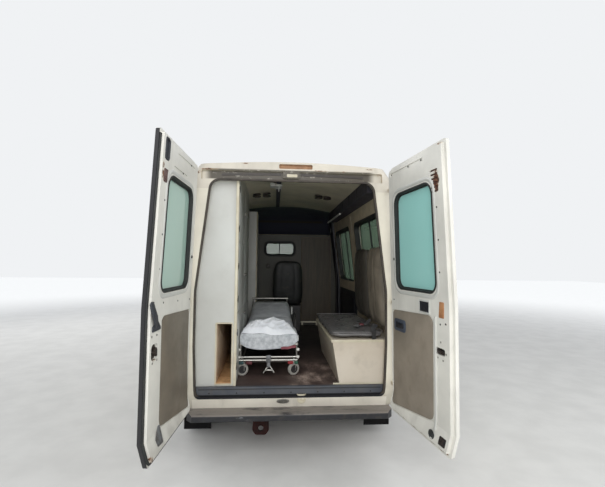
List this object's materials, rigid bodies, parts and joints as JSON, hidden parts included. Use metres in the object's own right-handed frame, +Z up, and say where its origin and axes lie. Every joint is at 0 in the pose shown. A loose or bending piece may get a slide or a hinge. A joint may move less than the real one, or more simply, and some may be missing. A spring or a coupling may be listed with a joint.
{
  "type": "ambulance",
  "caption": "High-roof panel van ambulance with open rear doors, stretcher, bench, cabinets, sliding side door and light bar, worn and rusty.",
  "frame": {"origin": "bottom centre of the whole bounding box with the rear doors open as in the picture", "axes": "+X to the vehicle's right, +Y forward, +Z up"},
  "size_m": [2.36, 6.1648, 2.618],
  "materials": {
    "cream_paint": "aged gloss",
    "worn_floor": "worn",
    "chassis_black": "dirty",
    "dark_bumper": "scuffed",
    "rubber": "matt",
    "lamp_lens": "gloss",
    "window_glass": "clear",
    "partition_beige": "satin",
    "cabinet_white": "laminate",
    "pad_grey": "satin",
    "seat_frame": "satin",
    "dash_grey": "matt",
    "bright_tube": "polished",
    "mattress_grey": "textured",
    "caster_tyre": "matt",
    "trunking_dark": "matt",
    "lamp_dark": "gloss",
    "blue_lens": "gloss",
    "engine_block": "rough",
    "axle_steel": "rough",
    "exhaust_steel": "rusty",
    "rusty_iron": "rusty",
    "tyre": "matt",
    "rim_silver": "satin"
  },
  "bodies": {
    "body": {"load_floor": "worn_floor", "frame_rails": "chassis_black", "side_left": "cream_paint", "side_right": "cream_paint", "sliding_door": "cream_paint", "roof": "cream_paint", "cab_floor": "chassis_black", "cab_frame": "cream_paint", "front_wings": "cream_paint", "nose_panel": "cream_paint", "lamps": "lamp_lens", "front_bumper": "dark_bumper", "rear_bumper": "dark_bumper", "crossmember": "cream_paint", "sill_plate": "dark_bumper", "door_seal": "rubber", "fixed_glass": "window_glass", "partition": "partition_beige", "cabinets": "cabinet_white", "bench": "cabinet_white", "bench_pads": "pad_grey", "seat_pads": "pad_grey", "seat_bases": "seat_frame", "dashboard": "dash_grey", "steering_wheel": "dash_grey", "stretcher_frame": "bright_tube", "casters": "caster_tyre", "mattress": "mattress_grey", "ceiling_rails": "trunking_dark", "ceiling_lamps": "lamp_dark", "light_bar": "blue_lens", "engine": "engine_block", "front_axle": "axle_steel", "rear_axle": "axle_steel", "leaf_springs": "axle_steel", "fuel_tank": "chassis_black", "exhaust": "exhaust_steel", "mudflaps": "rubber", "tow_eye": "rusty_iron"},
    "rear_door_right": {"rear_door_right": "cream_paint", "rear_glass_right": "window_glass"},
    "rear_door_left": {"rear_door_left": "cream_paint", "rear_glass_left": "window_glass"},
    "cab_door_right": {"cab_door_right": "cream_paint", "cab_glass_right": "window_glass", "mirror_right": "dark_bumper"},
    "cab_door_left": {"cab_door_left": "cream_paint", "cab_glass_left": "window_glass", "mirror_left": "dark_bumper"},
    "bonnet": {"bonnet": "cream_paint"},
    "steer_right": {"knuckle_right": "axle_steel"},
    "steer_left": {"knuckle_left": "axle_steel"},
    "wheel_front_right": {"tyre_front_right": "tyre", "rim_front_right": "rim_silver"},
    "wheel_front_left": {"tyre_front_left": "tyre", "rim_front_left": "rim_silver"},
    "wheel_rear_right": {"tyre_rear_right": "tyre", "rim_rear_right": "rim_silver"},
    "wheel_rear_left": {"tyre_rear_left": "tyre", "rim_rear_left": "rim_silver"}
  },
  "joints": [
    {"name": "rear_door_right_hinge", "type": "hinge", "parent": "body", "child": "rear_door_right", "pos_m": [0.832, -2.2545, 1.3], "axis": [0, 0, 1], "range_deg": [-98.1, 81.9]},
    {"name": "rear_door_left_hinge", "type": "hinge", "parent": "body", "child": "rear_door_left", "pos_m": [-0.832, -2.2545, 1.3], "axis": [0, 0, -1], "range_deg": [-93.6, 86.4]},
    {"name": "cab_door_right_hinge", "type": "hinge", "parent": "body", "child": "cab_door_right", "pos_m": [0.985, 1.7995, 1.2], "axis": [0, 0, 1], "range_deg": [0, 65]},
    {"name": "cab_door_left_hinge", "type": "hinge", "parent": "body", "child": "cab_door_left", "pos_m": [-0.985, 1.7995, 1.2], "axis": [0, 0, -1], "range_deg": [0, 65]},
    {"name": "bonnet_hinge", "type": "hinge", "parent": "body", "child": "bonnet", "pos_m": [0, 2.3745, 1.274], "axis": [1, 0, 0], "range_deg": [0, 50]},
    {"name": "steer_right", "type": "hinge", "parent": "body", "child": "steer_right", "pos_m": [0.8, 2.2415, 0.34], "axis": [0, 0, 1], "range_deg": [-35, 35]},
    {"name": "steer_left", "type": "hinge", "parent": "body", "child": "steer_left", "pos_m": [-0.8, 2.2415, 0.34], "axis": [0, 0, 1], "range_deg": [-35, 35]},
    {"name": "wheel_front_right_spin", "type": "hinge", "parent": "steer_right", "child": "wheel_front_right", "pos_m": [0.868, 2.2415, 0.34], "axis": [1, 0, 0], "continuous": true},
    {"name": "wheel_front_left_spin", "type": "hinge", "parent": "steer_left", "child": "wheel_front_left", "pos_m": [-0.868, 2.2415, 0.34], "axis": [1, 0, 0], "continuous": true},
    {"name": "wheel_rear_right_spin", "type": "hinge", "parent": "body", "child": "wheel_rear_right", "pos_m": [0.868, -1.3385, 0.34], "axis": [1, 0, 0], "continuous": true},
    {"name": "wheel_rear_left_spin", "type": "hinge", "parent": "body", "child": "wheel_rear_left", "pos_m": [-0.868, -1.3385, 0.34], "axis": [1, 0, 0], "continuous": true}
  ],
  "couplings": [
    {"joint": "steer_right", "follows": "steer_left", "ratio": 1}
  ]
}
